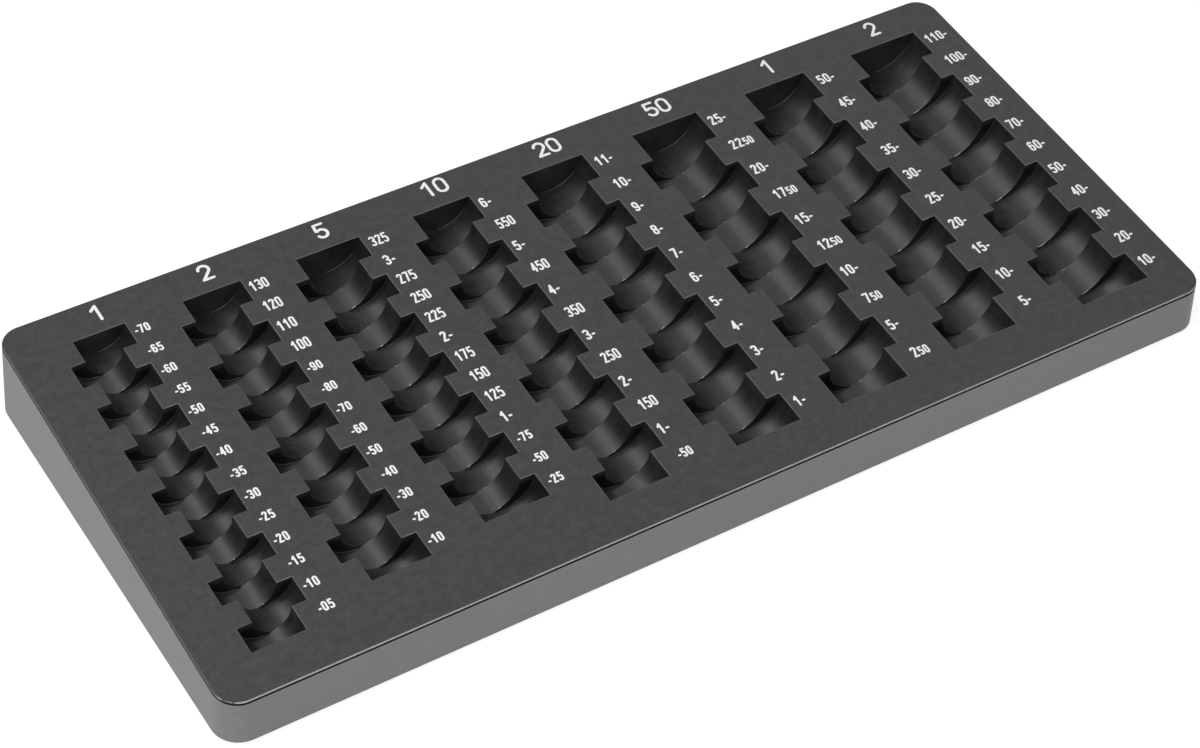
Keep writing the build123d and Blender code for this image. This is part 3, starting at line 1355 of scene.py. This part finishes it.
@dataclass
class TypeCase:
    """The figures of one size of lettering, each modelled once and then copied."""

    size: Lettering
    made: dict[Figure, Piece] = field(default_factory=dict)

    def point(self, x: float, y: float) -> Vector:
        """A point of the figure's box in deck axes, from its lower left."""
        return Vector((x * self.size.w, 0, y * self.size.h))

    def top(self, layer: int) -> float:
        """The level of a stroke's upper face in deck axes."""
        return -self.size.proud - layer * self.size.layer

    def disc(self, middle: Vector, layer: int) -> Piece:
        """A round blob of ink.

        Args:
            middle: its middle.
            layer: how many strokes of the figure lie under it.

        Returns:
            A short cylinder that lies flat on the deck.
        """
        top, bottom = self.top(layer), self.size.sink
        take()
        bpy.ops.mesh.primitive_cylinder_add(
            vertices=self.size.disc_sides, radius=self.size.stroke / 2, depth=bottom - top,
            location=(middle.x, (top + bottom) / 2, middle.z), rotation=(math.pi / 2, 0, 0),
        )
        blob = fresh("blob")
        bpy.ops.object.transform_apply(location=True, rotation=True, scale=False)
        return blob

    def bar(self, stroke: Bar, layer: int) -> list[Piece]:
        """A straight stroke: a disc, half of which is pulled to the other end.

        Args:
            stroke: the stroke.
            layer: how many strokes of the figure lie under it.

        Returns:
            One piece.
        """
        start = self.point(stroke.x, stroke.y)
        way = self.point(stroke.end_x, stroke.end_y) - start
        blob = self.disc(start, layer)
        open_mesh(blob, Part.VERT)
        pick(blob, Part.VERT, lambda vertex: (vertex.co - start).dot(way.normalized()) > 0)
        bpy.ops.transform.translate(value=way)
        close_mesh()
        return [blob]

    def bow(self, stroke: Bow, layer: int) -> list[Piece]:
        """A curved stroke: an edge as wide as the stroke is spun about the middle, then thickened.

        Args:
            stroke: the stroke.
            layer: how many strokes of the figure lie under it.

        Returns:
            The curved piece and a disc at each end.
        """
        size = self.size
        middle = self.point(0.5, stroke.level)
        first, sweep = math.radians(stroke.start), math.radians(stroke.end - stroke.start)
        steps = max(4, round(size.bow_steps * sweep / math.pi))

        def spot(angle: float) -> Vector:
            """The point of the stroke's middle line at an angle."""
            return middle + 0.5 * size.w * Vector((math.cos(angle), 0, math.sin(angle)))

        take()
        bpy.ops.mesh.primitive_plane_add(size=1, location=(0, 0, 0))
        piece = fresh("bow")
        piece.data.transform(Matrix.Diagonal((size.stroke, 1, 1, 1)) @ Matrix.Translation((0, 0.5, 0)))
        piece.data.transform(Matrix.Translation(spot(first)) @ Matrix.Rotation(-first, 4, "Y"))
        open_mesh(piece, Part.VERT)
        pick(piece, Part.VERT, lambda vertex: vertex.co.y > middle.y + 0.5)
        bpy.ops.mesh.delete(type="VERT")
        select_mesh(Part.VERT, True)
        bpy.ops.mesh.spin(steps=steps, angle=sweep, center=middle, axis=(0, 1, 0))
        select_mesh(Part.VERT, True)
        bpy.ops.mesh.remove_doubles(threshold=0.001)
        bpy.ops.transform.translate(value=(0, size.sink, 0))
        rise = (0, self.top(layer) - size.sink, 0)
        bpy.ops.mesh.extrude_region_move(TRANSFORM_OT_translate={"value": rise})
        face_outwards()
        close_mesh()
        return [piece, self.disc(spot(first), layer + 1), self.disc(spot(first + sweep), layer + 2)]

    def figure(self, sign: Figure) -> Piece:
        """One figure, made at its first use and kept for copying.

        Args:
            sign: which figure.

        Returns:
            The figure in deck axes, with its box's lower left at the bench's origin.
        """
        if sign not in self.made:
            parts: list[Piece] = []
            for stroke in sign.strokes(self.size):
                lay = self.bar if isinstance(stroke, Bar) else self.bow
                parts += lay(stroke, len(parts))
            self.made[sign] = joined(parts, "figure_" + sign.name.lower())
        return self.made[sign]

    def advance(self, sign: Figure) -> float:
        """How much room a sign takes along the line, with the gap behind it."""
        width = self.size.dash * self.size.w + self.size.stroke if sign is Figure.DASH else self.size.width
        return width + self.size.gap

    def clear(self) -> None:
        """Throws the patterns away once all the copies are made."""
        for piece in self.made.values():
            throw_away(piece)
        self.made.clear()


@dataclass
class Printing(Assembly):
    """The coin counts beside the pockets and the plain numbers over the columns."""

    broad: TypeCase = field(default_factory=lambda: TypeCase(Lettering(4.3, 2.05, 0.72, 0.37)))
    narrow: TypeCase = field(default_factory=lambda: TypeCase(Lettering(4.3, 1.85, 0.66, 0.25)))
    small: TypeCase = field(default_factory=lambda: TypeCase(Lettering(3.5, 1.65, 0.62, 0.30)))
    headings: TypeCase = field(default_factory=lambda: TypeCase(Lettering(6.8, 4.40, 1.00, 0.50)))
    count_foot: float = 1.58     # the figures stand this far below the middle of their pocket

    def build(self) -> None:
        """Prints every column and its heading."""
        for column in self.layout.columns():
            name = column.node.removeprefix("channel_")
            prints = (("counts_", self.print_counts), ("heading_", self.print_heading))
            for start, set_figures in prints:
                piece = joined(set_figures(column), start + name)
                paint(piece, (self.finishes.ink,))
                deliver(piece, self.layout.deck_to_row, "print")
        for case in (self.broad, self.narrow, self.small, self.headings):
            case.clear()

    def count_text(self, column: Column, number: int) -> list[tuple[str, TypeCase]]:
        """What is printed beside a pocket.

        Args:
            column: the column.
            number: 1 for the frontmost pocket, counted towards the rear.

        Returns:
            The texts of the line, each with the type that it is set in.
        """
        cents = number * self.layout.coins_per_pocket * column.coin_cents
        whole, rest = divmod(cents, 100)
        if cents < 100:
            return [(f"-{cents:02d}", self.small)]
        if column.style is CountStyle.CENTS:
            return [(str(cents), self.narrow)]
        if rest == 0:
            return [(f"{whole}-", self.broad)]
        if column.style is CountStyle.SMALL_CENTS:
            return [(str(whole), self.broad), (str(rest), self.small)]
        return [(f"{whole}{rest}", self.narrow)]

    def line(self, parts: Iterable[tuple[str, TypeCase]], left: float, foot: float) -> list[Piece]:
        """Sets one line of figures.

        Args:
            parts: texts with the type that each is set in.
            left: where the line begins, in deck axes.
            foot: where the figures stand, in deck axes.

        Returns:
            The copied figures in their places.
        """
        figures = []
        for text, case in parts:
            half = case.size.stroke / 2
            for sign in map(Figure, text):
                place = Matrix.Translation((left + half, 0, foot + half))
                figures.append(copied(case.figure(sign), place))
                left += case.advance(sign)
        return figures

    def print_counts(self, column: Column) -> list[Piece]:
        """Sets the counts beside the pockets of a column.

        Args:
            column: the column.

        Returns:
            The copied figures in their places.
        """
        left = column.right + column.count_start
        figures: list[Piece] = []
        for index in range(column.count):
            foot = self.layout.pocket_end(column, index) - column.length / 2 - self.count_foot
            figures += self.line(self.count_text(column, column.count - index), left, foot)
        return figures

    def print_heading(self, column: Column) -> list[Piece]:
        """Sets the plain number over a column.

        Args:
            column: the column.

        Returns:
            The copied figures in their places.
        """
        size = self.headings.size
        count = len(column.heading)
        length = count * size.width + (count - 1) * size.gap
        across, rise = column.heading_place
        foot = self.layout.first_z + rise - size.height / 2
        return self.line([(column.heading, self.headings)], column.left + across - length / 2, foot)


# ---------------------------------------------------------------- the studio


@dataclass(frozen=True)
class Lamp:
    """One soft lamp of the studio, aimed at the tray, in degrees, metres and watts."""

    name: str
    azimuth: float           # 0 stands to the right of the tray, 90 behind it
    elevation: float
    power: float
    distance: float = 1.3
    size: float = 0.7

    @property
    def place(self) -> Vector:
        """Where the lamp hangs.

        Returns:
            The place of its middle, in metres.
        """
        turn, rise = math.radians(self.azimuth), math.radians(self.elevation)
        level = math.cos(rise)
        return self.distance * Vector((level * math.cos(turn), level * math.sin(turn), math.sin(rise)))


@dataclass
class Studio:
    """The camera, the floor and the soft light."""

    camera_place: Triple = (-0.367987, -0.533402, 0.640371)
    camera_right: Triple = (0.849955, -0.524998, 0.044198)
    camera_down: Triple = (-0.344882, -0.617843, -0.706630)
    camera_ahead: Triple = (0.398286, 0.585361, -0.706202)
    lens: float = 86.66
    sensor: float = 36.0
    clip: Pair = (0.01, 50.0)
    floor_size: float = 12.0
    floor_drop: float = 0.0002
    floor_grey: float = 0.8
    shadow_grey: float = 0.4     # the floor that is seen, under a glow that makes it white
    floor_glow: float = 0.80
    sky: float = 0.05
    lamps: tuple[Lamp, ...] = (
        Lamp("overhead", 180, 66, 8.0),
        Lamp("front", 270, 42, 4.0),
        Lamp("front_right", 315, 42, 1.4),
        Lamp("rear_left", 135, 42, 3.2),
        Lamp("rear_right", 45, 42, 0.8),
        Lamp("low_left", 195, 10, 5.0),
        Lamp("low_front", 250, 10, 5.0),
    )

    def build(self) -> None:
        """Sets the whole studio up."""
        self.set_camera()
        self.lay_floor()
        self.light_sky()
        for lamp in self.lamps:
            self.hang(lamp)
        bpy.context.scene.view_settings.view_transform = "Standard"

    def stand(self, data: bpy.types.ID, place: Sequence[float], turn: Matrix) -> Piece:
        """Puts a camera or a lamp into the scene.

        Args:
            data: the camera or the lamp.
            place: where it stands.
            turn: how it is turned.

        Returns:
            Its object.
        """
        thing = bpy.data.objects.new(data.name, data)
        bpy.context.scene.collection.objects.link(thing)
        thing.matrix_world = Matrix.Translation(place) @ turn.to_4x4()
        return thing

    def set_camera(self) -> None:
        """Places the camera where the photograph was taken from."""
        data = bpy.data.cameras.new("camera")
        data.lens = self.lens
        data.sensor_width = self.sensor
        data.clip_start, data.clip_end = self.clip
        right, down, ahead = (Vector(v) for v in (self.camera_right, self.camera_down, self.camera_ahead))
        turn = Matrix((right, -down, -ahead)).transposed()
        bpy.context.scene.camera = self.stand(data, self.camera_place, turn)

    def hang(self, lamp: Lamp) -> None:
        """Hangs one soft lamp and aims it at the tray.

        Args:
            lamp: its place, size and power.
        """
        data = bpy.data.lights.new(lamp.name, "AREA")
        data.shape = "SQUARE"
        data.size = lamp.size
        data.energy = lamp.power
        self.stand(data, lamp.place, (-lamp.place).to_track_quat("-Z", "Y").to_matrix())

    def seen_directly(self, wires: Wiring) -> Socket:
        """A mask that is 1 for what the camera, a gloss or a glass sees.

        Args:
            wires: the wiring of the floor or of the sky.

        Returns:
            The mask, 0 for the light that falls on the object.
        """
        rays = wires.add("ShaderNodeLightPath").outputs
        both = wires.math("MAXIMUM", rays["Is Camera Ray"], rays["Is Glossy Ray"])
        return wires.math("MAXIMUM", both, rays["Is Transmission Ray"])

    def lay_floor(self) -> None:
        """Lays the pale floor, which shows white and keeps the tray's soft shadow."""
        take()
        bpy.ops.mesh.primitive_plane_add(size=self.floor_size, location=(0, 0, -self.floor_drop))
        floor = fresh("floor")
        material, wires = new_material("pale_floor")
        seen = self.seen_directly(wires)
        bounce, shown = (
            wires.add("ShaderNodeBsdfDiffuse", {"Color": colour(grey)}).outputs[0]
            for grey in (self.floor_grey, self.shadow_grey)
        )
        glow = wires.add("ShaderNodeEmission", {"Strength": self.floor_glow}).outputs[0]
        lit = wires.add("ShaderNodeAddShader", {0: shown, 1: glow}).outputs[0]
        mixed = wires.add("ShaderNodeMixShader", {0: seen, 1: bounce, 2: lit}).outputs[0]
        wires.add("ShaderNodeOutputMaterial", {"Surface": mixed})
        paint(floor, (material,))

    def light_sky(self) -> None:
        """Sets the even light of the room, which shows white behind the floor."""
        world = bpy.data.worlds.new("room")
        bpy.context.scene.world = world
        world.use_nodes = True
        world.node_tree.nodes.clear()
        wires = Wiring(world.node_tree)
        strength = wires.math("MAXIMUM", self.seen_directly(wires), self.sky)
        back = wires.add("ShaderNodeBackground", {"Strength": strength}).outputs[0]
        wires.add("ShaderNodeOutputWorld", {"Surface": back})


def main() -> None:
    """Builds the studio and every sub-assembly of the tray."""
    logging.basicConfig(level=logging.INFO, format="%(name)s: %(message)s")
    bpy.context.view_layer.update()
    layout = TrayLayout()
    finishes = Finishes.mixed(layout.slope)
    Studio().build()
    DeckPanel(layout, finishes).build()
    for column in layout.columns():
        Channel(layout, finishes, column).build()
    for assembly in (Housing, Underside, Printing):
        assembly(layout, finishes).build()
    take()
    log.info("sizes written")


if __name__ == "__main__":
    main()
